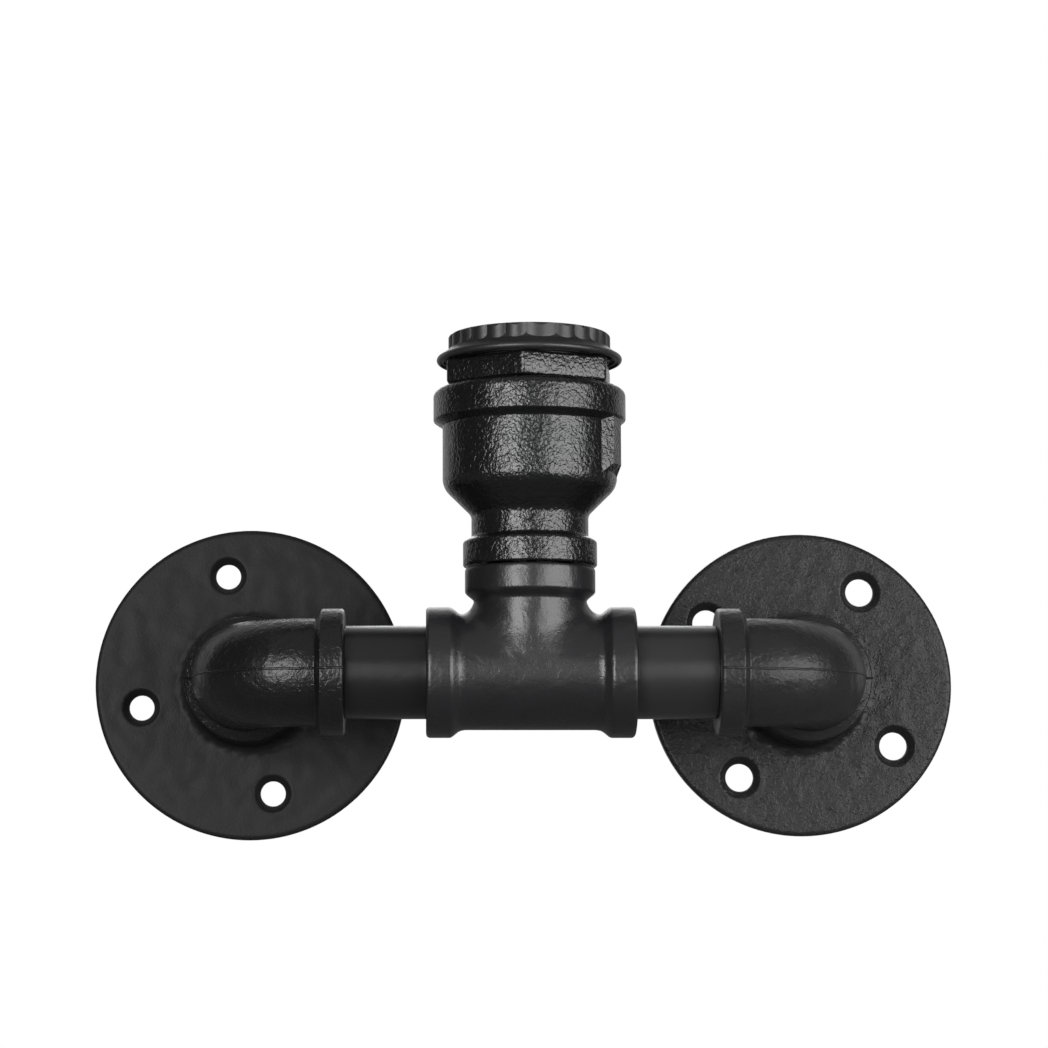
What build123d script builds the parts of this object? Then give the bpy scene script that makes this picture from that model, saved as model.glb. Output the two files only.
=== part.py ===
"""Industrial pipe wall light: two wall flanges carry a cross pipe of threaded fittings, and the tee in its
middle carries a bell reducer with a hex bushing, a lamp holder and a fluted shade ring.

Frame: millimetres, +X to the right, +Y into the wall, +Z up. The wall is the plane Y = 0, and the origin lies
on it, midway between the flanges and level with the cross pipe. The lamp head stands up along +Z.
"""

import os
from math import cos, radians, sin, sqrt

from build123d import *

# --- Pipe and pipe thread ---
pipe_diameter = 26.9  # three-quarter inch pipe
pipe_wall = 2.9
thread_cut = 0.75  # the thread's mean depth below the pipe's outside
thread_clearance = 0.1  # between a threaded end and its socket, all round
thread_engagement = 13.0  # how far a pipe end goes into a fitting
socket_depth = 14.5  # depth of the threaded socket in a fitting
waist_relief = 0.5  # a fitting's waterway is this much narrower than its sockets

# --- Tee ---
tee_reach = 30.1  # from the tee's centre to each of its ends
tee_wall = 3.8
tee_band_height = 2.25  # how far a band stands out from the body
tee_band_width = 7.2
tee_band_slope = 4.0  # run of the cast slope between the body and a band
branch_band_slope = 2.2
branch_waist = 0.4  # the branch is this much slimmer than the run
crotch_round = 4.5  # where the branch meets the run
band_edge = 1.1  # rounding of the bands' edges
mouth_edge = 0.7  # rounding of the tee's upper and the reducer's lower mouth, which nearly meet
slope_round = 1.4  # rounding where the body meets a slope
slope_lead = 3.2  # length of the shallow start of the tee's slope
slope_dip = 0.3  # which begins this far inside the body

# --- Elbow ---
elbow_reach = 30.0
elbow_straight = 11.0  # each port is straight for this length
elbow_wall = 2.8
elbow_band_height = 2.8
elbow_band_width = 6.8
elbow_band_slope = 1.4

# --- Wall flange ---
left_flange_diameter = 94.2
right_flange_diameter = 91.8
flange_plate = 5.0
flange_edge = 1.3
flange_height = 20.0
hub_wall = 5.5
hub_draft = 0.9  # the hub is this much larger in radius at its foot
hub_foot = 3.5  # rounding between the hub and the plate
screw_circle = 67.6
left_screw_hole = 7.6
right_screw_hole = 8.4
screw_count = 4
countersink_ratio = 1.47  # the countersink's diameter against the hole's
countersink_land = 2.4  # straight length of the screw hole below the countersink
left_flange_turn = 12.0  # where the first screw hole sits, anticlockwise from +X as seen from the room
right_flange_turn = 56.5

# --- How the fittings stand apart ---
flange_nipple_exposed = 2.0
arm_exposed = 23.4
riser_exposed = 0.4
turning_gap = 0.3  # the arm's shoulder stays off the elbow, in which it turns

# --- Bell reducer ---
reducer_length = 51.9
reducer_bore = 41.2  # the large end's threaded socket
reducer_socket_depth = 18.6
reducer_relief = 0.6  # the cavity below the large socket is this much wider in radius
bell_wall = 4.7
bell_band_height = 2.65
bell_band_width = 9.2
bell_band_slope = 1.8
bell_rim_round = 2.4  # rounding of the wide mouth's outer edge
small_band_height = 2.45
small_band_width = 7.2
neck_wall = 4.15
neck_top = 15.0  # where the neck ends and the bell begins, above the small end
bell_shoulder = 23.3  # where the bell reaches its full width, above the small end
bell_shoulder_round = 6.0
bell_neck_round = 3.0
bell_inner_lift = 0.7  # how far the cavity's cone stands above the outer one
rib_turn = 67.0  # the rib stands this far to the right of the front
rib_height = 1.8
rib_face = 6.0
rib_side = 3.3  # width of each of its sloping sides
rib_foot = 25.6  # where the rib ends, above the small end
rib_taper = 3.0

# --- Hex bushing ---
hex_flats = 46.0
hex_height = 7.1
hex_gap = 0.3  # between the hexagon and the reducer
hex_turn = -5.6  # a corner of the hexagon lies this far from the front
hex_corner_round = 0.6
hex_chamfer_height = 2.0
bushing_thread_length = 18.0

# --- Lamp holder ---
holder_barrel = 33.2
barrel_clearance = 0.15
barrel_length = 30.2
collar_diameter = 39.6
collar_height = 8.0
barrel_wall = 2.5
insert_ledge = 0.9  # the barrel's upper bore is this much wider, and the ceramic stands on the step
insert_clearance = 0.2
insert_height = 9.2
insert_top_depth = 22.8  # from the holder's rim down to the floor of the ceramic cup
insert_rim_depth = 0.8  # the ceramic's wall stops this far below the holder's rim
cap_diameter = 29.8
cap_wall = 1.9
cap_round = 4.0
cap_skirt = 4.0
cap_skirt_wall = 1.5
cap_height = 8.0
cap_boss_diameter = 13.0
cap_boss_height = 3.6
cap_clearance = 0.1
back_nut_diameter = 37.2
back_nut_height = 4.0
back_nut_notches = 4
notch_width = 4.0
notch_depth = 1.3
tag_thickness = 0.8
tag_ring_width = 2.2
tag_tab_width = 4.0
tag_tab_length = 5.2
tag_reach = 19.2  # from the lamp's axis to the inner face of the tag's bent tab

# --- Screw shell and contacts ---
shell_radius = 12.3  # inside the thread's crests, for an E26 or E27 lamp
shell_thickness = 0.35
thread_swell = 0.95  # the rolled thread swells this far beyond its crests
shell_clearance = 0.25
shell_foot = 9.0  # inner radius of the turned-in foot
shell_rim_depth = 1.6  # the shell stops this far below the holder's rim
contact_head = 8.0
contact_head_height = 1.6
contact_stem = 4.0
contact_stand = 0.3  # how far the contact's top stands above the ceramic's floor
contact_travel = 1.5
contact_clearance = 0.1
well_clearance = 0.6
spring_seat = 4.5  # the well is this much deeper than the contact's travel
spring_wire = 0.5
spring_radius = 3.0
spring_turns = 3
spring_gap = 0.05
strap_thickness = 0.8
clip_thickness = 0.6
clip_diameter = 6.4
terminal_size = 4.6
terminal_offset = 9.0
rivet_offset = 10.2
rivet_diameter = 2.0
terminal_screw = 2.6
terminal_screw_head = 4.0
terminal_head_height = 1.2
screw_clearance = 0.05

# --- Shade ring ---
ring_clearance = 0.1
ring_lift = 0.3  # the ring's lip stays this far above the bushing
ring_height = 8.2
ring_wall = 3.0
ring_top_round = 1.0
lobe_count = 24
wide_lobe_span = 22.2  # one lobe is wider than the others, in degrees
wide_lobe_turn = 7.0  # and its middle lies this far to the right of the front
lobe_height = 0.75
lip_diameter = 54.0
lip_bead = 1.05  # radius of the lip's rolled edge
skirt_thickness = 1.2
skirt_height = 4.5  # where the flared skirt leaves the lobes
skirt_round = 2.4
ring_foot_lift = 0.4  # the sleeve inside the skirt stops this far above the lip

# --- Wiring ---
cable_diameter = 6.4
cable_bend = 25.5
cable_straight = 2.0  # straight length beyond the bend, where the two lengths of cable meet
cable_wall_gap = 7.0  # the cable stops this far inside the wall's plane
lead_diameter = 1.9
lead_spacing = 1.35  # from the cable's axis to each lead's axis
lead_rise = 1.3  # the leads turn outwards this far above the cap's floor
lead_drop = 3.4  # and turn up again this far below their terminals
lead_bends = [5.5, 2.2]
earth_rise = 3.6  # the earth lead turns outwards this far below the cap's boss
earth_inset = 3.7  # its middle bend lies this far inside the cap's edge
earth_drop = 3.9  # and this far below the cap
earth_tail = 2.9  # straight length below the tag's tab
earth_bends = [2.7, 12.0, 3.3]
jacket_gap = 8.0  # the head cable's jacket ends this far below the cap's boss
cable_clearance = 0.1

# --- Sizes that follow ---
pipe_r = pipe_diameter / 2
waterway_r = pipe_r - pipe_wall
thread_r = pipe_r - thread_cut
socket_r = thread_r + thread_clearance
cavity_r = socket_r - waist_relief
elbow_bend = elbow_reach - elbow_straight  # radius of the bent centre line
elbow_x = tee_reach + arm_exposed + elbow_reach
axis_y = -(flange_height + flange_nipple_exposed + elbow_reach)
reducer_base = tee_reach + riser_exposed
reducer_top = reducer_base + reducer_length
reducer_bore_r = reducer_bore / 2
hex_base = reducer_top + hex_gap
hex_top = hex_base + hex_height
bushing_base = hex_base - bushing_thread_length
barrel_r = holder_barrel / 2
barrel_base = hex_top - barrel_length
holder_rim = hex_top + collar_height
lower_bore_r = barrel_r - barrel_wall
upper_bore_r = lower_bore_r + insert_ledge
insert_floor = holder_rim - insert_top_depth
insert_base = insert_floor - insert_height
tag_base = bushing_base - tag_thickness
back_nut_base = tag_base - back_nut_height
cap_base = barrel_base - cap_height
boss_base = cap_base - cap_boss_height
jacket_end = boss_base - jacket_gap
contact_top = insert_floor + contact_stand
contact_under = contact_top - contact_head_height
well_floor = insert_floor - contact_travel - spring_seat
strap_base = insert_base - strap_thickness
terminal_base = insert_base - terminal_size
ring_base = hex_top + ring_lift
cable_meet = cable_bend + cable_straight  # from an elbow's corner

head = Pos(0, axis_y, 0)
low = (Align.CENTER, Align.CENTER, Align.MIN)


def profile(points, rounds=None):
    """A closed outline in radius and height. rounds gives corners, by their number, a rounding."""
    face = make_face(Polyline(*points, close=True))
    for corner, radius in (rounds or {}).items():
        vertex = face.vertices().sort_by_distance((*points[corner], 0))[0]
        face = fillet(vertex, radius)
    return face


def turned(points, rounds=None):
    """The outline turned round the Z axis."""
    return revolve(Plane.XZ * profile(points, rounds), Axis.Z)


def rod(radius, bottom, top):
    return Pos(0, 0, bottom) * Cylinder(radius, top - bottom, align=low)


def tube(outer, inner, bottom, top):
    return rod(outer, bottom, top) - rod(inner, bottom, top)


def around(count, shape):
    """Equal copies of a shape round the Z axis."""
    return [Rot(0, 0, number * 360 / count) * shape for number in range(count)]


def cord(points, radius, diameter):
    """A round cord along straight runs that tangent arcs join."""
    path = FilletPolyline(*points, radius=radius)
    section = Plane(origin=path @ 0, z_dir=path % 0) * Circle(diameter / 2)
    return sweep(section, path)


# A cast plate with countersunk screw holes and a threaded hub, its back on Z = 0.
def wall_flange(diameter, screw_hole, turn):
    plate_r = diameter / 2
    hub_r = socket_r + hub_wall
    outline = [
        (socket_r, 0),
        (plate_r, 0),
        (plate_r, flange_plate),
        (hub_r + hub_draft, flange_plate),
        (hub_r, flange_height),
        (socket_r, flange_height),
    ]
    body = turned(outline, {2: flange_edge, 3: hub_foot, 4: band_edge})
    hole_r = screw_hole / 2
    sink = Cone(hole_r, hole_r * countersink_ratio, flange_plate - countersink_land, align=low)
    cutter = rod(hole_r, 0, flange_plate) + Pos(0, 0, countersink_land) * sink
    for hole in around(screw_count, Pos(screw_circle / 2, 0, 0) * cutter):
        body -= Rot(0, 0, turn) * hole
    return body


def on_wall(x, shape):
    """Turns a piece's +Z to point into the room, and sets it on the wall."""
    return Pos(x, 0, 0) * Rot(90, 0, 0) * shape


# A pipe piece along Z, at full width from Z = 0 to its exposed length, and cut down for its threads beyond.
def nipple(exposed, far_gap=0.0):
    shoulder = exposed - far_gap
    full = rod(pipe_r, 0, shoulder) + rod(thread_r, -thread_engagement, exposed + thread_engagement)
    return full - rod(waterway_r, -thread_engagement, exposed + thread_engagement)


def close_nipple(exposed):
    return tube(thread_r, waterway_r, -thread_engagement, exposed + thread_engagement)


def socket_cutter(reach):
    """The waterway and threaded socket of one port, along Z."""
    return rod(cavity_r, 0, reach) + rod(socket_r, reach - socket_depth, reach)


# A cast run and branch with a band round each mouth.
def tee_fitting():
    body_r = socket_r + tee_wall
    branch_r = body_r - branch_waist
    band_r = body_r + tee_band_height
    band_start = tee_reach - tee_band_width
    slope_start = band_start - tee_band_slope
    run = Rot(0, 90, 0) * Cylinder(body_r, 2 * tee_reach)
    body = run + rod(branch_r, 0, band_start)
    crotch = [edge for edge in body.edges() if edge.geom_type not in (GeomType.LINE, GeomType.CIRCLE)]
    body = fillet(crotch, crotch_round)
    run_band = turned(
        [
            (0, slope_start - slope_lead / 2),
            (body_r - slope_dip, slope_start - slope_lead / 2),
            (body_r + slope_dip, slope_start + slope_lead / 2),
            (band_r, band_start),
            (band_r, tee_reach),
            (0, tee_reach),
        ],
        {2: slope_round, 3: slope_round, 4: band_edge},
    )
    branch_start = band_start - branch_band_slope
    branch_band = turned(
        [
            (0, branch_start),
            (branch_r, branch_start),
            (band_r, band_start),
            (band_r, tee_reach),
            (0, tee_reach),
        ],
        {2: slope_round / 2, 3: mouth_edge},
    )
    body += Rot(0, 90, 0) * run_band
    body += Rot(0, -90, 0) * run_band
    body += branch_band
    for turn in (0, 90, -90):
        body -= Rot(0, turn, 0) * socket_cutter(tee_reach)
    return body


def bent_rod(radius):
    """A quarter bend from the X axis to the Y axis, round the elbow's bending centre."""
    section = Plane(origin=(elbow_bend, 0, 0), z_dir=(-1, 0, 0)) * Circle(radius)
    return revolve(section, Axis((elbow_bend, elbow_bend, 0), (0, 0, -1)), 90)


# A bent body between two banded mouths, one towards +X and one towards +Y.
def elbow_fitting():
    body_r = socket_r + elbow_wall
    band_r = body_r + elbow_band_height
    band_start = elbow_reach - elbow_band_width
    slope_start = band_start - elbow_band_slope
    port = turned(
        [
            (0, elbow_bend),
            (body_r, elbow_bend),
            (body_r, slope_start),
            (band_r, band_start),
            (band_r, elbow_reach),
            (0, elbow_reach),
        ],
        {2: slope_round / 2, 3: slope_round / 2, 4: band_edge},
    )
    bore = rod(cavity_r, elbow_bend, elbow_reach) + rod(socket_r, elbow_reach - socket_depth, elbow_reach)
    to_x, to_y = Rot(0, 90, 0), Rot(-90, 0, 0)
    body = bent_rod(body_r) + to_x * port + to_y * port
    return body - bent_rod(cavity_r) - to_x * bore - to_y * bore


# A bell with a narrow threaded mouth below and a wide one above, a band round each, and one cast rib.
def bell_reducer_casting():
    neck_r = socket_r + neck_wall
    small_band_r = neck_r + small_band_height
    bell_r = reducer_bore_r + bell_wall
    bell_band_r = bell_r + bell_band_height
    relief_r = reducer_bore_r + reducer_relief
    band_start = reducer_length - bell_band_width
    bore_floor = reducer_length - reducer_socket_depth
    outline = [
        (socket_r, 0),
        (small_band_r, 0),
        (small_band_r, small_band_width),
        (neck_r, small_band_width + slope_round),
        (neck_r, neck_top),
        (bell_r, bell_shoulder),
        (bell_r, band_start - bell_band_slope),
        (bell_band_r, band_start),
        (bell_band_r, reducer_length),
        (reducer_bore_r, reducer_length),
        (reducer_bore_r, bore_floor),
        (relief_r, bore_floor - reducer_relief),
        (relief_r, bell_shoulder + bell_inner_lift),
        (cavity_r, neck_top + bell_inner_lift),
        (cavity_r, socket_depth),
        (socket_r, socket_depth),
    ]
    rounds = {
        1: mouth_edge,
        2: band_edge,
        3: slope_round / 2,
        4: bell_neck_round,
        5: bell_shoulder_round,
        6: slope_round / 2,
        7: slope_round / 2,
        8: bell_rim_round,
    }
    body = turned(outline, rounds)
    foot_half = rib_face / 2 + rib_side
    foot_u = sqrt(bell_r**2 - foot_half**2)
    root_u = relief_r + bell_wall / 2
    crest_u = bell_r + rib_height
    plan = make_face(
        Polyline(
            (root_u, -foot_half),
            (foot_u, -foot_half),
            (crest_u, -rib_face / 2),
            (crest_u, rib_face / 2),
            (foot_u, foot_half),
            (root_u, foot_half),
            close=True,
        )
    )
    side = profile(
        [
            (root_u, rib_foot),
            (foot_u, rib_foot),
            (crest_u, rib_foot + rib_taper),
            (crest_u, band_start),
            (root_u, band_start),
        ]
    )
    upright = Pos(0, 0, rib_foot) * extrude(plan, band_start - rib_foot)
    rib = upright & extrude(Plane.XZ * side, foot_half, both=True)
    return body + Rot(0, 0, rib_turn - 90) * rib


# A hexagon on a threaded shank, bored for the lamp holder's barrel.
def hex_bushing_turning():
    corner_r = hex_flats / sqrt(3)
    flats_r = hex_flats / 2
    prism = extrude(RegularPolygon(corner_r, 6), hex_height)
    prism = fillet(prism.edges().filter_by(Axis.Z), hex_corner_round)
    chamfer = turned(
        [
            (0, 0),
            (flats_r, 0),
            (corner_r, hex_chamfer_height),
            (corner_r, hex_height),
            (0, hex_height),
        ]
    )
    hexagon = Pos(0, 0, hex_base) * Rot(0, 0, hex_turn - 90) * (prism & chamfer)
    shank = rod(reducer_bore_r - thread_clearance, bushing_base, hex_base)
    return hexagon + shank - rod(barrel_r + barrel_clearance, bushing_base, hex_top)


# A brass barrel with a step for the ceramic and a threaded collar that rests on the bushing.
def holder_barrel_turning():
    collar_r = collar_diameter / 2
    return turned(
        [
            (lower_bore_r, barrel_base),
            (barrel_r, barrel_base),
            (barrel_r, hex_top),
            (collar_r, hex_top),
            (collar_r, holder_rim),
            (upper_bore_r, holder_rim),
            (upper_bore_r, insert_base),
            (lower_bore_r, insert_base),
        ]
    )


def back_nut():
    nut_r = back_nut_diameter / 2
    nut = tube(nut_r, barrel_r + thread_clearance, back_nut_base, tag_base)
    notch = Pos(nut_r, 0, back_nut_base) * Box(2 * notch_depth, notch_width, back_nut_height, align=low)
    for cutter in around(back_nut_notches, notch):
        nut -= Rot(0, 0, 180 / back_nut_notches) * cutter
    return nut


# A flat ring with a tab that is bent down behind the back nut.
def earth_tag_pressing():
    inner_r = barrel_r + thread_clearance
    ring = tube(inner_r + tag_ring_width, inner_r, tag_base, bushing_base)
    arm_start = inner_r + tag_ring_width / 2
    arm_end = tag_reach + tag_thickness
    arm_centre = (arm_start + arm_end) / 2
    arm = Pos(0, arm_centre, tag_base) * Box(tag_tab_width, arm_end - arm_start, tag_thickness, align=low)
    tab_centre = tag_reach + tag_thickness / 2
    tab_base = bushing_base - tag_tab_length
    tab = Pos(0, tab_centre, tab_base) * Box(tag_tab_width, tag_thickness, tag_tab_length, align=low)
    return ring + arm + tab


# A cup whose thick floor holds the contacts and whose thin wall insulates the screw shell.
def ceramic_insert_moulding():
    outer_r = upper_bore_r - insert_clearance
    cup_r = shell_radius + thread_swell + shell_thickness + shell_clearance
    body = rod(outer_r, insert_base, holder_rim - insert_rim_depth)
    body -= rod(cup_r, insert_floor, holder_rim)
    body -= rod(contact_head / 2 + well_clearance, well_floor, insert_floor)
    body -= rod(contact_stem / 2 + contact_clearance, insert_base, insert_floor)
    rivet_hole = rod(rivet_diameter / 2 + contact_clearance, insert_base, insert_floor)
    return body - Pos(rivet_offset, 0, 0) * rivet_hole


def screw_shell_pressing():
    shell_top = holder_rim - shell_rim_depth
    foot_top = insert_floor + shell_thickness
    return turned(
        [
            (shell_foot, insert_floor),
            (shell_radius + shell_thickness, insert_floor),
            (shell_radius + shell_thickness, shell_top - shell_thickness),
            (shell_radius + thread_swell, shell_top - shell_thickness),
            (shell_radius + thread_swell, shell_top),
            (shell_radius, shell_top),
            (shell_radius, foot_top),
            (shell_foot, foot_top),
        ]
    )


# A rivet-shaped plunger, held from below by a clip.
def centre_contact_turning():
    head_shape = rod(contact_head / 2, contact_under, contact_top)
    head_shape = fillet(head_shape.edges().group_by(Axis.Z)[-1], contact_head_height / 2)
    return head_shape + rod(contact_stem / 2, strap_base - clip_thickness, contact_under)


def contact_clip():
    return tube(clip_diameter / 2, contact_stem / 2, strap_base - clip_thickness, strap_base)


def contact_spring_coil():
    seat = well_floor + spring_gap + spring_wire / 2
    rise = contact_under - well_floor - spring_wire - 2 * spring_gap
    path = Pos(0, 0, seat) * Helix(rise / spring_turns, rise, spring_radius)
    section = Plane(origin=path @ 0, z_dir=path % 0) * Circle(spring_wire / 2)
    return sweep(section, path, is_frenet=True)


def terminal_block(side):
    """A brass block under the ceramic, with a threaded hole for its screw from the back."""
    centre = Pos(side * terminal_offset, 0, 0)
    block = centre * Pos(0, 0, terminal_base) * Box(terminal_size, terminal_size, terminal_size, align=low)
    hole = Rot(-90, 0, 0) * rod(terminal_screw / 2 + screw_clearance, 0, terminal_size / 2)
    return block - centre * Pos(0, 0, terminal_base + terminal_size / 2) * hole


def neutral_terminal_piece():
    rivet = rod(rivet_diameter / 2, insert_base, insert_floor)
    return terminal_block(1) + Pos(rivet_offset, 0, 0) * rivet


def live_terminal_piece():
    strap_end = -terminal_offset + terminal_size / 2
    strap = Pos(strap_end / 2, 0, strap_base) * Box(-strap_end, terminal_size, strap_thickness, align=low)
    eye = rod(terminal_size / 2 + strap_thickness, strap_base, insert_base)
    hole = rod(contact_stem / 2 + contact_clearance, strap_base, insert_base)
    return terminal_block(-1) + strap + eye - hole


def terminal_screw_pair():
    shank_end = terminal_size / 2
    screw = rod(terminal_screw / 2, screw_clearance, shank_end)
    screw += rod(terminal_screw_head / 2, shank_end, shank_end + terminal_head_height)
    height = terminal_base + terminal_size / 2
    placed = [Pos(side * terminal_offset, 0, height) * Rot(-90, 0, 0) * screw for side in (-1, 1)]
    return Compound(children=placed)


# A domed cap screwed into the barrel's lower end, with a boss for the cable's leads.
def holder_cap_moulding():
    cap_r = cap_diameter / 2
    skirt_r = lower_bore_r - cap_clearance
    inner_r = skirt_r - cap_skirt_wall
    boss_r = cap_boss_diameter / 2
    entry_r = cable_diameter / 2 + cable_clearance
    floor = cap_base + cap_wall
    outline = [
        (entry_r, boss_base),
        (boss_r, boss_base),
        (boss_r, cap_base),
        (cap_r, cap_base),
        (cap_r, barrel_base),
        (skirt_r, barrel_base),
        (skirt_r, barrel_base + cap_skirt),
        (inner_r, barrel_base + cap_skirt),
        (inner_r, floor),
        (entry_r, floor),
    ]
    return turned(outline, {1: cap_wall / 4, 3: cap_round, 8: cap_wall})


def lobed_outline(inner_r, crest_r):
    """Convex lobes that meet in narrow grooves, one of them wider than the rest."""
    groove_r = crest_r - lobe_height
    span = (360 - wide_lobe_span) / (lobe_count - 1)

    def at(radius, angle):
        return (radius * cos(radians(angle)), radius * sin(radians(angle)))

    start = wide_lobe_turn - 90 - wide_lobe_span / 2
    arcs = []
    for number in range(lobe_count):
        end = start + (wide_lobe_span if number == 0 else span)
        arcs.append(ThreePointArc(at(groove_r, start), at(crest_r, (start + end) / 2), at(groove_r, end)))
        start = end
    return make_face(arcs) - Circle(inner_r)


# A sleeve with convex lobes outside, which fade into a thin flared skirt with a rolled lip.
def shade_ring_moulding():
    bore_r = collar_diameter / 2 + ring_clearance
    groove_r = bore_r + ring_wall
    crest_r = groove_r + lobe_height
    bead_r = lip_diameter / 2 - lip_bead
    sleeve = turned(
        [
            (bore_r, ring_foot_lift),
            (crest_r, ring_foot_lift),
            (crest_r, ring_height),
            (bore_r, ring_height),
        ],
        {2: ring_top_round},
    )
    lobes = extrude(lobed_outline(bore_r, crest_r), ring_height)
    skirt_foot = skirt_height - skirt_thickness
    skirt = turned(
        [
            (bore_r, skirt_height + skirt_round),
            (groove_r, skirt_height + skirt_round),
            (groove_r, skirt_height),
            (bead_r, 2 * lip_bead),
            (bead_r, lip_bead / 2),
            (groove_r - skirt_thickness, skirt_foot),
            (bore_r, skirt_foot),
        ],
        {2: skirt_round},
    )
    bead = revolve(Plane.XZ * Pos(bead_r, lip_bead) * Circle(lip_bead), Axis.Z)
    hollow = tube(bead_r, groove_r - skirt_thickness / 2, 0, lip_bead / 2)
    ring = (sleeve & lobes) + skirt + bead - hollow
    return Pos(0, 0, ring_base) * ring


def frame_cable_run():
    start = (-elbow_x, -cable_wall_gap, 0)
    corner = (-elbow_x, axis_y, 0)
    end = (-elbow_x + cable_meet, axis_y, 0)
    return cord([start, corner, end], cable_bend, cable_diameter)


def head_cable_run():
    start = (-elbow_x + cable_meet, 0, 0)
    return cord([start, (0, 0, 0), (0, 0, jacket_end)], cable_bend, cable_diameter)


def terminal_lead(side):
    """From the jacket up through the cap's boss and across to its terminal."""
    x = side * lead_spacing * cos(radians(30))
    y = -lead_spacing * sin(radians(30))
    turn_z = cap_base + cap_wall + lead_rise
    meet_x = side * terminal_offset
    meet_z = terminal_base - lead_drop
    points = [(x, y, jacket_end), (x, y, turn_z), (meet_x, 0, meet_z), (meet_x, 0, terminal_base)]
    return cord(points, lead_bends, lead_diameter)


def earth_lead_run():
    """From the jacket out under the cap, up along the bell's wall and to the tag's tab."""
    tab_y = tag_reach + tag_thickness / 2
    tab_end = bushing_base - tag_tab_length
    points = [
        (0, lead_spacing, jacket_end),
        (0, lead_spacing, boss_base - earth_rise),
        (0, cap_diameter / 2 - earth_inset, cap_base - earth_drop),
        (0, tab_y, tab_end - earth_tail),
        (0, tab_y, tab_end),
    ]
    return cord(points, earth_bends, lead_diameter)


def at_elbow(side, shape):
    """Places a piece of the left elbow's corner there, or its mirror image at the right."""
    placed = Pos(-elbow_x, axis_y, 0) * shape
    return placed if side < 0 else mirror(placed, Plane.YZ)


parts = {}
flanges = {
    -1: wall_flange(left_flange_diameter, left_screw_hole, left_flange_turn),
    1: wall_flange(right_flange_diameter, right_screw_hole, right_flange_turn),
}
for side, name in ((-1, "left"), (1, "right")):
    flange_nipple = Pos(0, 0, flange_height) * nipple(flange_nipple_exposed)
    arm = Pos(0, 0, tee_reach) * nipple(arm_exposed, turning_gap)
    parts[f"{name}_wall_flange"] = on_wall(side * elbow_x, flanges[side])
    parts[f"{name}_flange_nipple"] = on_wall(side * elbow_x, flange_nipple)
    parts[f"{name}_elbow"] = at_elbow(side, elbow_fitting())
    parts[f"{name}_arm_pipe"] = head * Rot(0, side * 90, 0) * arm

parts["tee"] = head * tee_fitting()
parts["riser_nipple"] = head * Pos(0, 0, tee_reach) * close_nipple(riser_exposed)
parts["bell_reducer"] = head * Pos(0, 0, reducer_base) * bell_reducer_casting()
parts["hex_bushing"] = head * hex_bushing_turning()
parts["holder_barrel"] = head * holder_barrel_turning()
parts["holder_back_nut"] = head * back_nut()
parts["earth_tag"] = head * earth_tag_pressing()
parts["ceramic_insert"] = head * ceramic_insert_moulding()
parts["screw_shell"] = head * screw_shell_pressing()
parts["centre_contact"] = head * centre_contact_turning()
parts["contact_clip"] = head * contact_clip()
parts["contact_spring"] = head * contact_spring_coil()
parts["live_terminal"] = head * live_terminal_piece()
parts["neutral_terminal"] = head * neutral_terminal_piece()
parts["terminal_screws"] = head * terminal_screw_pair()
parts["holder_cap"] = head * holder_cap_moulding()
parts["shade_ring"] = head * shade_ring_moulding()
parts["frame_cable"] = frame_cable_run()
parts["head_cable"] = head * head_cable_run()
parts["live_lead"] = head * terminal_lead(-1)
parts["neutral_lead"] = head * terminal_lead(1)
parts["earth_lead"] = head * earth_lead_run()

os.makedirs("parts", exist_ok=True)
for name, shape in parts.items():
    export_step(shape, f"parts/{name}.step")
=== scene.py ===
import math

import bpy
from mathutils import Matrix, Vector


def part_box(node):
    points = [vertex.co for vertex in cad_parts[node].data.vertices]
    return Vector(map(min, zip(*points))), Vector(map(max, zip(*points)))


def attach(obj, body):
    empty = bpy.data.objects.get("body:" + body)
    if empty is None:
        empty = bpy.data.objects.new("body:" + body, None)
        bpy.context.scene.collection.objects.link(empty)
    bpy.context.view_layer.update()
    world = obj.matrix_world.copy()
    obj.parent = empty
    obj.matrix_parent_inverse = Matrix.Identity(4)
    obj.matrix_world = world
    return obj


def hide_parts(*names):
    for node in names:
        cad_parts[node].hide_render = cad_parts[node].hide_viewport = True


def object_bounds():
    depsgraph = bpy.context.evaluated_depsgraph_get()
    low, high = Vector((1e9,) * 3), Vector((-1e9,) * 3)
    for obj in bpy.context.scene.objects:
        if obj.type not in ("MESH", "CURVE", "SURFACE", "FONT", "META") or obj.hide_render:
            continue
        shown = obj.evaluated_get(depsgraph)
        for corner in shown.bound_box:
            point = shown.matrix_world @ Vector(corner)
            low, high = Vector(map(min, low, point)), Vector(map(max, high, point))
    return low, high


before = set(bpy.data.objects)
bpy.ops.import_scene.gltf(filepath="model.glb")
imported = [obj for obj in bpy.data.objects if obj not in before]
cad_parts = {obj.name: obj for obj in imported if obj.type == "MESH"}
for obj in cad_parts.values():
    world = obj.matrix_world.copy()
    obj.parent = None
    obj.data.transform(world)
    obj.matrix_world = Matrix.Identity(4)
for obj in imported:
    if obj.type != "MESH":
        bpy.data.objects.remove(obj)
cad_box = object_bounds()

# The camera stands in the room, a little below and left of the lamp, and looks a little up, as the
# photograph's does. Its distance and lens give the photograph's perspective, and its shift the crop.
camera_place = (-0.0288, -0.927, -0.0665)
camera_pitch = 97.14
camera_lens = 104.5
camera_shift = 0.0892  # of the picture's width, to the right
bpy.ops.object.select_all(action="DESELECT")
bpy.ops.object.camera_add(location=camera_place, rotation=(math.radians(camera_pitch), 0, 0))
camera = bpy.context.object
camera.data.lens = camera_lens
camera.data.sensor_width = 36
camera.data.shift_x = camera_shift
camera.data.clip_start = 0.01
bpy.context.scene.camera = camera


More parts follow.
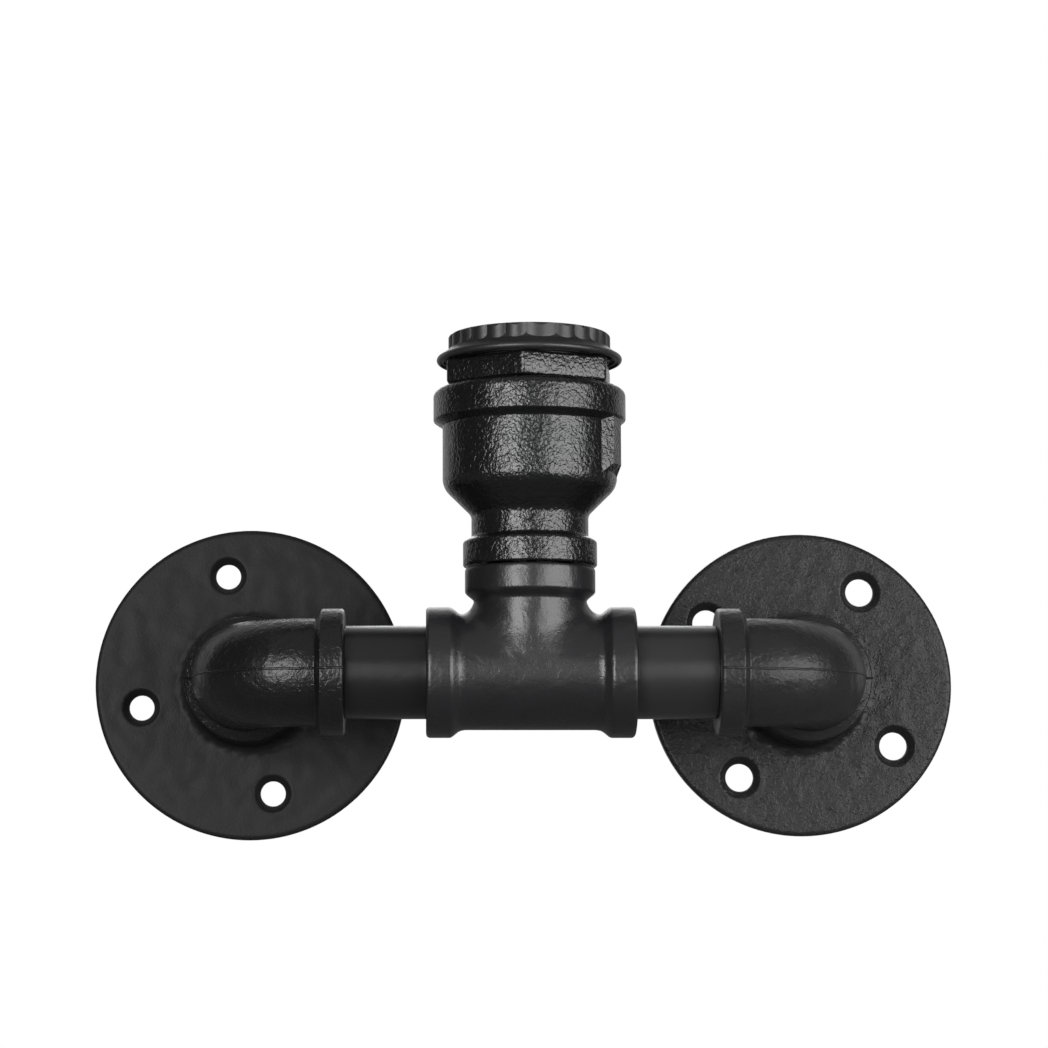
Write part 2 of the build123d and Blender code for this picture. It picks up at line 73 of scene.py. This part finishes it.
# A white studio: a pale floor, a white screen far behind the lamp and white beyond them for the camera.
# Glossy black metal mirrors the screen at its edges, and the dim room elsewhere.
def linear(code):
    channels = [int(code[start:start + 2], 16) / 255 for start in (1, 3, 5)]
    return [c / 12.92 if c <= 0.04045 else ((c + 0.055) / 1.055) ** 2.4 for c in channels] + [1]


def add_node(tree, kind, values=None, links=None):
    """Adds a node. values sets sockets or settings, and links joins sockets to other nodes' outputs."""
    made = tree.nodes.new(kind)
    for key, value in (values or {}).items():
        if isinstance(key, int) or key in made.inputs:
            made.inputs[key].default_value = value
        else:
            setattr(made, key, value)
    for key, output in (links or {}).items():
        tree.links.new(made.inputs[key], output)
    return made


white = (1, 1, 1, 1)
room_glow = 0.06
screen_white = 1.0
stage_size = 8
floor_place = (0, 0, -0.35)
screen_place = (0, 2.6, 1.5)
floor_in_gloss = 0.15
screen_in_gloss = 0.6
room = bpy.data.worlds.new("studio_room")
bpy.context.scene.world = room
room.use_nodes = True
room.node_tree.nodes.clear()
path = add_node(room.node_tree, "ShaderNodeLightPath")
seen = add_node(room.node_tree, "ShaderNodeMath",
                {"operation": "MULTIPLY_ADD", 1: 1 - room_glow, 2: room_glow},
                {0: path.outputs["Is Camera Ray"]})
glow = add_node(room.node_tree, "ShaderNodeBackground", {"Color": white}, {"Strength": seen.outputs[0]})
add_node(room.node_tree, "ShaderNodeOutputWorld", links={"Surface": glow.outputs[0]})


def white_stage(name, place, tilt, in_gloss):
    """A large white sheet that the camera sees as plain white, and gloss at the share in_gloss of it."""
    bpy.ops.object.select_all(action="DESELECT")
    bpy.ops.mesh.primitive_plane_add(size=stage_size, location=place, rotation=(tilt, 0, 0))
    sheet = bpy.context.object
    sheet.name = name
    paper = bpy.data.materials.new(name + "_paper")
    paper.use_nodes = True
    tree = paper.node_tree
    tree.nodes.clear()
    light_path = add_node(tree, "ShaderNodeLightPath")
    mirrored = add_node(tree, "ShaderNodeMath", {"operation": "MAXIMUM"},
                        {0: light_path.outputs["Is Glossy Ray"],
                         1: light_path.outputs["Is Transmission Ray"]})
    clear = add_node(tree, "ShaderNodeMath", {"operation": "MAXIMUM"},
                     {0: light_path.outputs["Is Camera Ray"], 1: mirrored.outputs[0]})
    strength = add_node(tree, "ShaderNodeMath",
                        {"operation": "MULTIPLY_ADD", 1: in_gloss - screen_white, 2: screen_white},
                        {0: mirrored.outputs[0]})
    matt = add_node(tree, "ShaderNodeBsdfDiffuse", {"Color": linear("#8f8f8d")})
    lit = add_node(tree, "ShaderNodeEmission", {"Color": white}, {"Strength": strength.outputs[0]})
    mixed = add_node(tree, "ShaderNodeMixShader",
                     links={0: clear.outputs[0], 1: matt.outputs[0], 2: lit.outputs[0]})
    add_node(tree, "ShaderNodeOutputMaterial", links={"Surface": mixed.outputs[0]})
    sheet.data.materials.append(paper)


white_stage("floor", floor_place, 0, floor_in_gloss)
white_stage("screen", screen_place, math.radians(90), screen_in_gloss)


# Two tall soft boxes stand left and right of the camera. Each leaves a broad stripe on every upright
# round, with a dark seam between them, and the elbows catch them on their outer bends. A dim panel lights
# the tops from above, and a small one on the wall's side keeps the backs readable.
lit_point = ((cad_box[0][0] + cad_box[1][0]) / 2, -0.052, 0.05)


def soft_box(name, azimuth, elevation, distance, width, height, strength):
    """A lit panel aimed at the lamp. Azimuth 0 is the camera's side, and a strength of 1 is white."""
    across, up = math.radians(azimuth), math.radians(elevation)
    place = (lit_point[0] + distance * math.sin(across) * math.cos(up),
             lit_point[1] - distance * math.cos(across) * math.cos(up),
             lit_point[2] + distance * math.sin(up))
    bpy.ops.object.select_all(action="DESELECT")
    bpy.ops.object.light_add(type="AREA", location=place, rotation=(math.pi / 2 - up, 0, across))
    panel = bpy.context.object
    panel.name = name
    panel.data.shape = "RECTANGLE"
    panel.data.size = width
    panel.data.size_y = height
    panel.data.energy = strength * math.pi * width * height
    panel.visible_camera = False


soft_box("left_box", azimuth=-26, elevation=0, distance=1.3, width=0.64, height=0.75, strength=11.0)
soft_box("right_box", azimuth=44, elevation=0, distance=0.75, width=0.74, height=0.46, strength=7.0)
soft_box("ceiling_panel", azimuth=0, elevation=62, distance=1.2, width=1.6, height=1.4, strength=0.36)
soft_box("wall_side_panel", azimuth=180, elevation=25, distance=1.5, width=0.8, height=0.6, strength=2.0)
bpy.context.scene.view_settings.view_transform = "Standard"


# Two round floor flanges screw to the wall through countersunk holes. They are grey iron, cast in sand,
# and sprayed with black lacquer, which fills the sand's grain on one and leaves it rough on the other.
drift_size = 9.0  # mm, over which colour and gloss drift
drift_detail = 4.0
grain_detail = 1.5
grain_twist = 0.6  # the noise is distorted by this much, so that grains aren't round
grain_floor = 0.2  # the noise that counts as a grain's foot
grain_cut = 0.45  # and how much higher a full cut sets it
grain_top = 0.8


def surface(name, colours, roughness, grains, metallic=0.0, specular=0.5):
    """A finish whose two colours and two roughnesses drift into each other. Each grain is its size and its
    depth in mm, and how much of it is cut away, from 0, a rolling surface, to 1, a few lone bumps or pits."""
    made = bpy.data.materials.new(name)
    made.use_nodes = True
    tree = made.node_tree
    tree.nodes.clear()
    place = add_node(tree, "ShaderNodeTexCoord").outputs["Object"]
    links = {}
    for size, depth, cut in grains:
        noise = add_node(tree, "ShaderNodeTexNoise",
                         {"Scale": 1000 / size, "Detail": grain_detail, "Distortion": grain_twist},
                         {"Vector": place})
        height = add_node(tree, "ShaderNodeMapRange",
                          {"From Min": grain_floor + grain_cut * cut, "From Max": grain_top,
                           "interpolation_type": "SMOOTHSTEP"},
                          {"Value": noise.outputs[0]})
        bump = add_node(tree, "ShaderNodeBump", {"Distance": abs(depth) / 1000, "invert": depth < 0},
                        {"Height": height.outputs[0], **links})
        links = {"Normal": bump.outputs[0]}
    drift = add_node(tree, "ShaderNodeTexNoise", {"Scale": 1000 / drift_size, "Detail": drift_detail},
                     {"Vector": place})
    tint = add_node(tree, "ShaderNodeMix",
                    {"data_type": "RGBA", 6: linear(colours[0]), 7: linear(colours[1])},
                    {0: drift.outputs[0]})
    gloss = add_node(tree, "ShaderNodeMapRange", {"To Min": roughness[0], "To Max": roughness[1]},
                     {"Value": drift.outputs[0]})
    shader = add_node(tree, "ShaderNodeBsdfPrincipled",
                      {"Metallic": metallic, "Specular IOR Level": specular},
                      {"Base Color": tint.outputs[2], "Roughness": gloss.outputs[0], **links})
    add_node(tree, "ShaderNodeOutputMaterial", links={"Surface": shader.outputs[0]})
    return made


# Satin lacquer on a fine sand casting: dark grey, with a faint grain.
# The same lacquer on a coarse casting: speckled with small bumps that catch the light, and painted a little
# lighter: painted light, for the brighter light on the lamp's right side.
flange_lacquers = {
    "left": surface("satin_lacquer_on_fine_casting", ("#151516", "#19191a"), (0.42, 0.52),
                    [(9, 0.06, 0), (1, 0.025, 0), (0.5, 0.015, 0)], specular=0.13),
    "right": surface("painted_light_satin_lacquer_on_coarse_casting", ("#171718", "#1d1d1e"), (0.30, 0.40),
                     [(10, 0.12, 0), (1.3, 0.11, 0.62), (0.7, 0.04, 0)], specular=0.2),
}
merge_gap = 0.000002
flange_grid = 0.0005
hub_foot_r = 0.0200
screw_circle_r = 0.0338
screw_count = 4
first_screw = {"left": 12.0, "right": 56.5}  # degrees, anticlockwise from the right
sand_lumps = {"left": (0.0085, 0.0006), "right": (0.0050, 0.00042)}  # how wide and how high they are
foot_wrinkles = {"left": (0.0024, 0.0007), "right": (0.0024, 0.0007)}
# Between these two distances the casting goes from smooth to rough, or back.
rough_off_wall = (0.0030, 0.0045)
rough_off_socket = (0.0145, 0.0165)
rough_off_screw = (0.0060, 0.0080)  # the countersinks are drilled clean
smooth_to_edge = (-0.0060, -0.0020)
smooth_off_foot = (0.0010, 0.0035)
smooth_up_hub = (0.0070, 0.0110)


def merged_copy(node):
    """A copy of a CAD node whose loose triangles are joined."""
    bpy.ops.object.select_all(action="DESELECT")
    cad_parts[node].select_set(True)
    bpy.context.view_layer.objects.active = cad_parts[node]
    bpy.ops.object.duplicate()
    bpy.ops.object.mode_set(mode="EDIT")
    bpy.ops.mesh.select_all(action="SELECT")
    bpy.ops.mesh.remove_doubles(threshold=merge_gap)
    bpy.ops.object.mode_set(mode="OBJECT")
    return bpy.context.object


def apply_modifier(piece, kind, **settings):
    """Shapes the active piece with a modifier and applies it."""
    modifier = piece.modifiers.new("shaping", kind)
    for setting, value in settings.items():
        setattr(modifier, setting, value)
    bpy.ops.object.modifier_apply(modifier=modifier.name)


def ease(value, start, end):
    """0 at start and 1 at end, with a soft start and end."""
    share = min(max((value - start) / (end - start), 0), 1)
    return share * share * (3 - 2 * share)


def name_and_coat(piece, name, material):
    piece.name = name
    piece.data.materials.clear()
    piece.data.materials.append(material)


def roughen_flange(flange, side, low, high):
    """Gives the flange's front the lumps of a sand casting, and its hub's foot the lacquer's wrinkles."""
    centre = (low[0] + high[0]) / 2
    edge_r = (high[0] - low[0]) / 2
    screws = [math.radians(first_screw[side] + 360 / screw_count * number) for number in range(screw_count)]
    screw_places = [(screw_circle_r * math.cos(screw), screw_circle_r * math.sin(screw)) for screw in screws]
    lumps = flange.vertex_groups.new(name="lumps")
    wrinkles = flange.vertex_groups.new(name="wrinkles")
    for vertex in flange.data.vertices:
        vertex.co.y = min(vertex.co.y, high[1])
        x, z = vertex.co.x - centre, vertex.co.z
        off_wall = -vertex.co.y
        off_axis = math.hypot(x, z)
        off_screw = min(math.hypot(x - screw_x, z - screw_z) for screw_x, screw_z in screw_places)
        rough = ease(off_wall, *rough_off_wall) * ease(off_axis, *rough_off_socket)
        rough *= ease(off_screw, *rough_off_screw)
        lumpy = rough * (1 - ease(off_axis - edge_r, *smooth_to_edge))
        wrinkled = rough * (1 - ease(abs(off_axis - hub_foot_r), *smooth_off_foot))
        wrinkled *= 1 - ease(off_wall, *smooth_up_hub)
        lumps.add([vertex.index], lumpy, "REPLACE")
        wrinkles.add([vertex.index], wrinkled, "REPLACE")
    for group, (size, height) in (("lumps", sand_lumps[side]), ("wrinkles", foot_wrinkles[side])):
        clouds = bpy.data.textures.new(side + "_" + group, "CLOUDS")
        clouds.noise_scale = size
        clouds.noise_depth = 1
        apply_modifier(flange, "DISPLACE", texture=clouds, texture_coords="LOCAL", strength=height,
                       mid_level=0.5, vertex_group=group)
    flange.vertex_groups.clear()


for side, lacquer in flange_lacquers.items():
    flange_low, flange_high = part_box(side + "_wall_flange")
    flange = merged_copy(side + "_wall_flange")
    apply_modifier(flange, "REMESH", mode="VOXEL", voxel_size=flange_grid)
    roughen_flange(flange, side, flange_low, flange_high)
    apply_modifier(flange, "SMOOTH", factor=0.5, iterations=3)
    bpy.ops.object.shade_smooth()
    name_and_coat(flange, side + "_cast_flange", lacquer)
    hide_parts(side + "_wall_flange")
    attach(flange, "frame")


# Short pipe nipples join the flanges to the elbows, and two pipe pieces carry the tee. They are welded steel
# pipe, threaded at both ends and sprayed black, so they are smoother than the castings.
def coat_node(node, material):
    """A CAD node keeps its shape and takes a finish."""
    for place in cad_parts[node].material_slots:
        place.material = material


pipe_grain = [(6, 0.03, 0), (0.6, 0.008, 0)]
# Semi-gloss lacquer on drawn pipe: even and dark, with a very fine grain.
pipe_lacquer = surface("semi_gloss_lacquer_on_steel_pipe", ("#111112", "#151516"), (0.26, 0.32), pipe_grain,
                       specular=0.4)
for pipe in ("left_flange_nipple", "right_flange_nipple", "left_arm_pipe", "riser_nipple"):
    coat_node(pipe, pipe_lacquer)
# The same lacquer, painted a little greyer: painted light, for the brighter light on the lamp's right side.
coat_node("right_arm_pipe",
          surface("painted_light_lacquer_on_steel_pipe", ("#1b1b1c", "#1f1f20"), (0.28, 0.34), pipe_grain))


# Two banded elbows turn the pipe out from the wall. They are malleable iron from a two-part mould, whose
# halves leave a raised line in the plane of the bend, under the same black lacquer.

# Semi-gloss lacquer on a smooth casting: a soft sheen, wrinkled in patches where it ran. On the right elbow
# it is painted greyer: painted light, standing in for the brighter light on the lamp's right side.
elbow_lacquers = {
    "left": surface("semi_gloss_lacquer_on_malleable_iron", ("#0f0f10", "#141415"), (0.22, 0.36),
                    [(8, 0.2, 0), (1.6, 0.07, 0.45), (0.9, 0.05, 0.7)], specular=0.3),
    # The right elbow's lighter colours are painted light, for the brighter light on the right.
    "right": surface("painted_light_lacquer_on_malleable_iron", ("#1b1b1c", "#212122"), (0.26, 0.40),
                     [(8, 0.2, 0), (1.6, 0.06, 0.45), (0.9, 0.04, 0.7)], specular=0.22),
}
for side, lacquer in elbow_lacquers.items():
    coat_node(side + "_elbow", lacquer)

elbow_reach = 0.030  # from the corner where the two mouths' axes meet to each mouth
elbow_bend = 0.019
elbow_body_r = 0.0156
elbow_band_r = 0.0184
elbow_band_width = 0.0068
elbow_band_slope = 0.0014
line_r = 0.0004  # half the width of the mould line
line_sides = 10
line_sunk = 0.00016  # the middle of the line lies this far inside the casting
line_steps = 24  # round the bend
line_merge = 0.00001
line_wander = 0.00009


def extrude_along(runs):
    """Draws the selected ring of edges out along straight runs."""
    for run in runs:
        bpy.ops.mesh.extrude_region_move(TRANSFORM_OT_translate={"value": run})


def elbow_mould_line(corner, side):
    """The line along the bend's outer side, where side is -1, or its inner side, where it is 1."""
    at_body = side * (elbow_body_r - line_sunk)
    at_band = side * (elbow_band_r - line_sunk)
    straight = elbow_reach - elbow_band_width - elbow_band_slope - elbow_bend
    bpy.ops.object.select_all(action="DESELECT")
    bpy.ops.mesh.primitive_circle_add(vertices=line_sides, radius=line_r, rotation=(0, math.pi / 2, 0),
                                      location=(corner[0] + elbow_reach, corner[1] + at_band, 0))
    bpy.ops.object.mode_set(mode="EDIT")
    extrude_along([(-elbow_band_width, 0, 0),
                   (-elbow_band_slope, at_body - at_band, 0),
                   (-straight, 0, 0)])
    bpy.ops.mesh.spin(steps=line_steps, angle=math.pi / 2, axis=(0, 0, 1),
                      center=(corner[0] + elbow_bend, corner[1] + elbow_bend, 0))
    extrude_along([(0, straight, 0),
                   (at_band - at_body, elbow_band_slope, 0),
                   (0, elbow_band_width, 0)])
    bpy.ops.mesh.select_all(action="SELECT")
    bpy.ops.mesh.remove_doubles(threshold=line_merge)
    bpy.ops.mesh.fill_holes(sides=0)
    bpy.ops.mesh.normals_make_consistent(inside=False)
    bpy.ops.object.mode_set(mode="OBJECT")
    bpy.ops.object.transform_apply(location=True, rotation=True, scale=True)
    return bpy.context.object


left_low, left_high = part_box("left_elbow")
left_corner = (left_high[0] - elbow_reach, left_high[1] - elbow_reach)
outer_line = elbow_mould_line(left_corner, -1)
inner_line = elbow_mould_line(left_corner, 1)
outer_line.select_set(True)
bpy.context.view_layer.objects.active = outer_line
bpy.ops.object.join()
for vertex in outer_line.data.vertices:
    x, y = vertex.co.x * 1000, vertex.co.y * 1000  # two slow waves, in radians per mm
    vertex.co.z += line_wander * (math.sin(1.3 * x + 0.4 * y) + math.sin(0.55 * x - 0.9 * y))
bpy.ops.object.shade_smooth()
bpy.ops.object.duplicate()
mirrored_line = bpy.context.object
for vertex in mirrored_line.data.vertices:
    vertex.co.x = -vertex.co.x
mirrored_line.data.flip_normals()
for line, side in ((outer_line, "left"), (mirrored_line, "right")):
    name_and_coat(line, side + "_elbow_mould_line", elbow_lacquers[side])
    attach(line, "frame")


# The banded tee carries the lamp head on its upper mouth, and turns in the elbows with its two pipe pieces.
# It is malleable iron too. Its mould leaves the branch and the run flowing softly into each other, and its
# lacquer is thicker and glossier than the elbows'.
tee_band_height = 0.00225
tee_branch_waist = 0.0004  # the branch is this much slimmer than the run
tee_grid = 0.0004
tee_share_kept = 0.78  # of its triangles, so that the tee stays under 200,000
crotch_reach = 0.0056  # how far the soft crotch reaches up the branch where it is steepest
crotch_fade = 0.3  # below 1, the crotch stays wide in front, where the branch leaves the run gently
crotch_rounds = 3  # a point comes closer to the soft surface with each
tee_skin = 0.0012  # only points this near to the tee's outside move
# Between these two distances from the tee's centre the crotch comes in or goes out.
crotch_in_above = (0, 0.0060)
crotch_out_sideways = (0.0165, 0.0215)
crotch_out_above = (0.0185, 0.0215)
tee_low, tee_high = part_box("tee")
tee_band_r = (tee_high[1] - tee_low[1]) / 2
run_r = tee_band_r - tee_band_height
branch_r = run_r - tee_branch_waist
tee_centre = ((tee_low[0] + tee_high[0]) / 2, (tee_low[1] + tee_high[1]) / 2, tee_low[2] + tee_band_r)


def soft_crotch(x, y, z):
    """Where a point of the tee's outside goes, measured from the tee's centre."""
    for crotch_round in range(crotch_rounds):
        off_run_axis, off_branch_axis = math.hypot(y, z), math.hypot(x, y)
        off_run, off_branch = off_run_axis - run_r, off_branch_axis - branch_r
        near, far = sorted((off_run, off_branch))
        if near < -tee_skin or z <= 0:
            break
        steepness = max(1 - y * y / (off_run_axis * off_branch_axis), 1e-6)
        reach = crotch_reach * steepness ** crotch_fade
        overlap = max(reach - (far - near), 0) / reach
        depth = overlap * overlap * reach / 4 - near
        if depth <= 0:
            break
        run_share = overlap / 2 if off_run > off_branch else 1 - overlap / 2
        branch_share = 1 - run_share
        slope = (branch_share * x / off_branch_axis,
                 run_share * y / off_run_axis + branch_share * y / off_branch_axis,
                 run_share * z / off_run_axis)
        outwards = depth / sum(part * part for part in slope)
        x += slope[0] * outwards
        y += slope[1] * outwards
        z += slope[2] * outwards
    return x, y, z


tee = merged_copy("tee")
apply_modifier(tee, "REMESH", mode="VOXEL", voxel_size=tee_grid)
for vertex in tee.data.vertices:
    start = [vertex.co[axis] - tee_centre[axis] for axis in range(3)]
    end = soft_crotch(*start)
    share = ease(start[2], *crotch_in_above) * (1 - ease(abs(start[0]), *crotch_out_sideways))
    share *= 1 - ease(start[2], *crotch_out_above)
    for axis in range(3):
        vertex.co[axis] += (end[axis] - start[axis]) * share
apply_modifier(tee, "SMOOTH", factor=0.5, iterations=4)
apply_modifier(tee, "DECIMATE", ratio=tee_share_kept)
bpy.ops.object.shade_smooth()
# Gloss lacquer on a smooth casting: clear highlights with uneven edges and a few pits.
tee_lacquer = surface("gloss_lacquer_on_malleable_iron", ("#141415", "#18181a"), (0.30, 0.36),
                      [(7, 0.12, 0), (1.2, 0.025, 0), (1.6, -0.03, 0.75)])
name_and_coat(tee, "soft_cast_tee", tee_lacquer)
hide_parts("tee")
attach(tee, "head")


# The bell reducer screws onto the tee and carries the hex bushing in its wide mouth. It is iron cast in
# coarse sand, and thick gloss lacquer rounds the grain into an orange peel.
# Gloss lacquer over coarse sand: bright broken highlights on a near-black ground.
peel_lacquer = surface("gloss_lacquer_over_coarse_sand", ("#0b0b0c", "#0f0f10"), (0.20, 0.27),
                       [(9, 0.18, 0), (1.15, 0.13, 0), (0.6, 0.03, 0)])
coat_node("bell_reducer", peel_lacquer)


# The hex bushing screws into the reducer's wide mouth, and its bore carries the lamp holder. It is cast in
# the same sand and lacquered the same. Its hexagon is left as cast, with corners that the lacquer softens.
hexagon_flats = 0.046
hexagon_height = 0.0071
hexagon_turn = -5.6  # degrees, from a corner that points at the room
hexagon_rounding = 0.0009  # of all its edges
bushing_shank_r = 0.0205
bushing_bore_r = 0.01675
bore_overshoot = 0.001


def upright_cylinder(radius, bottom, top, sides=128, turn=0.0):
    """A solid cylinder on the lamp head's axis."""
    bpy.ops.object.select_all(action="DESELECT")
    bpy.ops.mesh.primitive_cylinder_add(vertices=sides, radius=radius, depth=top - bottom,
                                        location=(0, head_axis_y, (bottom + top) / 2),
                                        rotation=(0, 0, math.radians(turn)))
    bpy.ops.object.transform_apply(location=True, rotation=True, scale=True)
    return bpy.context.object


def boolean(piece, tool, operation):
    """Joins the tool to the piece or cuts it away, and uses the tool up."""
    bpy.ops.object.select_all(action="DESELECT")
    piece.select_set(True)
    bpy.context.view_layer.objects.active = piece
    apply_modifier(piece, "BOOLEAN", operation=operation, object=tool)
    bpy.data.objects.remove(tool)


bushing_low, bushing_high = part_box("hex_bushing")
head_axis_y = (bushing_low[1] + bushing_high[1]) / 2
hexagon_base = bushing_high[2] - hexagon_height
hexagon = upright_cylinder(hexagon_flats / math.sqrt(3), hexagon_base, bushing_high[2], 6, hexagon_turn)
bpy.ops.object.mode_set(mode="EDIT")
bpy.ops.mesh.select_all(action="SELECT")
bpy.ops.mesh.bevel(offset=hexagon_rounding, segments=5)
bpy.ops.object.mode_set(mode="OBJECT")
shank = upright_cylinder(bushing_shank_r, bushing_low[2], hexagon_base + hexagon_height / 2)
boolean(hexagon, shank, "UNION")
bore = upright_cylinder(bushing_bore_r, bushing_low[2] - bore_overshoot, bushing_high[2] + bore_overshoot)
boolean(hexagon, bore, "DIFFERENCE")
name_and_coat(hexagon, "cast_hex_bushing", peel_lacquer)
bpy.ops.object.shade_smooth_by_angle(angle=math.radians(25))
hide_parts("hex_bushing")
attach(hexagon, "head")


# The lamp holder stands in the bushing: a threaded barrel with a collar, clamped from inside by a notched
# nut. Both are turned brass, sprayed black.
# Satin lacquer on turned metal: smooth, with the faintest grain.
holder_lacquer = surface("satin_lacquer_on_turned_brass", ("#1a1a1a", "#1e1e1e"), (0.38, 0.44),
                         [(0.6, 0.006, 0)])
for turned_piece in ("holder_barrel", "holder_back_nut"):
    coat_node(turned_piece, holder_lacquer)


# The shade ring screws onto the holder's collar and clamps a shade there. It is moulded black phenolic resin,
# fluted for the fingers, with a thin flared lip.
# Moulded phenolic: satin black with a soft sheen and no casting grain.
coat_node("shade_ring",
          surface("moulded_black_phenolic", ("#171717", "#1c1c1c"), (0.36, 0.46),
                  [(3, 0.02, 0), (0.5, 0.006, 0)]))


# The insert is steatite ceramic, pressed and fired, and it stands on a step in the barrel. It holds the
# contacts and keeps the live shell off the metal.
# Unglazed steatite: chalky warm white with a fine grain.
coat_node("ceramic_insert",
          surface("unglazed_steatite", ("#dcd8cc", "#e6e2d8"), (0.55, 0.7), [(0.8, 0.02, 0)]))


# The centre contact and the two terminals are brass, pressed or turned, and left bright. The contact stands
# in the ceramic's well, and the terminals are riveted under the ceramic.
# Bright brass with a light tarnish that dulls it in patches.
bright_brass = surface("bright_pressed_brass", ("#d9b064", "#c79a4c"), (0.2, 0.34), [(2, 0.01, 0)],
                       metallic=1.0)
for brass_piece in ("centre_contact", "live_terminal", "neutral_terminal"):
    coat_node(brass_piece, bright_brass)


# The screw shell takes the lamp's cap. It is thin brass, drawn into a cup, and its thread is rolled in, so
# that the wall swells in and out with it. Its foot turns in over the ceramic's floor, and its rim turns out.
shell_inner_r = 0.0126  # the middle of the thread
shell_sides = 96
shell_rings = 63
shell_wave = 0.0003  # the thread swells this far in and out
shell_pitch = 25.4e-3 / 7
shell_wall = 0.00035
shell_foot_r = 0.009
shell_rim_r = shell_inner_r + 0.0003
shell_calm = 0.0022  # the thread fades out over this height at both ends
shell_end = 0.0001  # edges this near to an end are its rim or foot


def select_edges(piece, wanted):
    """Goes to edit mode with the edges selected whose two ends wanted(end, end) accepts."""
    bpy.ops.object.mode_set(mode="EDIT")
    bpy.ops.mesh.select_mode(type="EDGE")
    bpy.ops.mesh.select_all(action="DESELECT")
    bpy.ops.object.mode_set(mode="OBJECT")
    for edge in piece.data.edges:
        edge.select = wanted(*[piece.data.vertices[number].co for number in edge.vertices])
    bpy.ops.object.mode_set(mode="EDIT")


def turn_edge(radius, height):
    """Draws the selected ring of edges in or out to a radius."""
    share = radius / shell_inner_r
    bpy.ops.mesh.extrude_region_move()
    bpy.ops.transform.resize(value=(share, share, 1), center_override=(0, head_axis_y, height))


shell_low, shell_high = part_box("screw_shell")
bpy.ops.object.select_all(action="DESELECT")
bpy.ops.mesh.primitive_cylinder_add(vertices=shell_sides, radius=shell_inner_r,
                                    depth=shell_high[2] - shell_low[2], end_fill_type="NOTHING",
                                    location=(0, head_axis_y, (shell_low[2] + shell_high[2]) / 2))
bpy.ops.object.transform_apply(location=True, rotation=True, scale=True)
shell = bpy.context.object
select_edges(shell, lambda one, other: abs(one.z - other.z) > shell_end)
bpy.ops.mesh.subdivide(number_cuts=shell_rings)
bpy.ops.object.mode_set(mode="OBJECT")
for vertex in shell.data.vertices:
    x, y, z = vertex.co.x, vertex.co.y - head_axis_y, vertex.co.z
    calm = min((z - shell_low[2]) / shell_calm, (shell_high[2] - z) / shell_calm, 1)
    wave = shell_wave * calm * math.cos(2 * math.pi * z / shell_pitch - math.atan2(y, x))
    vertex.co.x = x * (1 + wave / shell_inner_r)
    vertex.co.y = head_axis_y + y * (1 + wave / shell_inner_r)
select_edges(shell, lambda one, other: max(one.z, other.z) < shell_low[2] + shell_end)
turn_edge(shell_foot_r, shell_low[2])
select_edges(shell, lambda one, other: min(one.z, other.z) > shell_high[2] - shell_end)
turn_edge(shell_rim_r, shell_high[2])
bpy.ops.mesh.select_all(action="SELECT")
bpy.ops.mesh.normals_make_consistent(inside=False)
bpy.ops.object.mode_set(mode="OBJECT")
apply_modifier(shell, "SOLIDIFY", thickness=shell_wall, offset=1)
name_and_coat(shell, "rolled_screw_shell", bright_brass)
bpy.ops.object.shade_smooth_by_angle(angle=math.radians(40))
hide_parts("screw_shell")
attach(shell, "head")


# The small steel pieces: the spring below the contact and the clip that stops it, the terminals' screws, and
# the tag that takes the earth lead. They are wound, turned or stamped, and zinc plated.
# Bright zinc plate: cool grey, slightly cloudy.
zinc_plate = surface("bright_zinc_plate", ("#b9bcc0", "#c9cbcd"), (0.24, 0.36), [(1.2, 0.008, 0)],
                     metallic=1.0)
for steel_piece in ("contact_spring", "contact_clip", "terminal_screws", "earth_tag"):
    coat_node(steel_piece, zinc_plate)


# The cap closes the barrel's lower end around the leads. It is moulded black phenolic, left matt, and it
# screws in from below.
# Matt phenolic: no clear highlight.
coat_node("holder_cap",
          surface("matt_black_phenolic", ("#1c1c1c", "#232323"), (0.5, 0.6), [(0.7, 0.015, 0)]))


# The supply cable runs inside the pipes in two lengths, one in the frame and one in the head. Its sheath
# is black PVC, and its leads are green for earth, black for live and white for neutral.
# Soft PVC, extruded: matt and slightly waxy on the sheath, a little shinier on the leads.
sheath_pvc = surface("black_pvc_sheath", ("#1a1a1a", "#202020"), (0.5, 0.6), [(1.5, 0.02, 0)])
for cable in ("frame_cable", "head_cable"):
    coat_node(cable, sheath_pvc)
for lead, colours in (("live_lead", ("#1d1d1d", "#171717")), ("neutral_lead", ("#e4e2dc", "#d8d6cf")),
                      ("earth_lead", ("#2f8a3f", "#257634"))):
    coat_node(lead, surface(lead + "_pvc", colours, (0.35, 0.45), [(1.0, 0.006, 0)]))
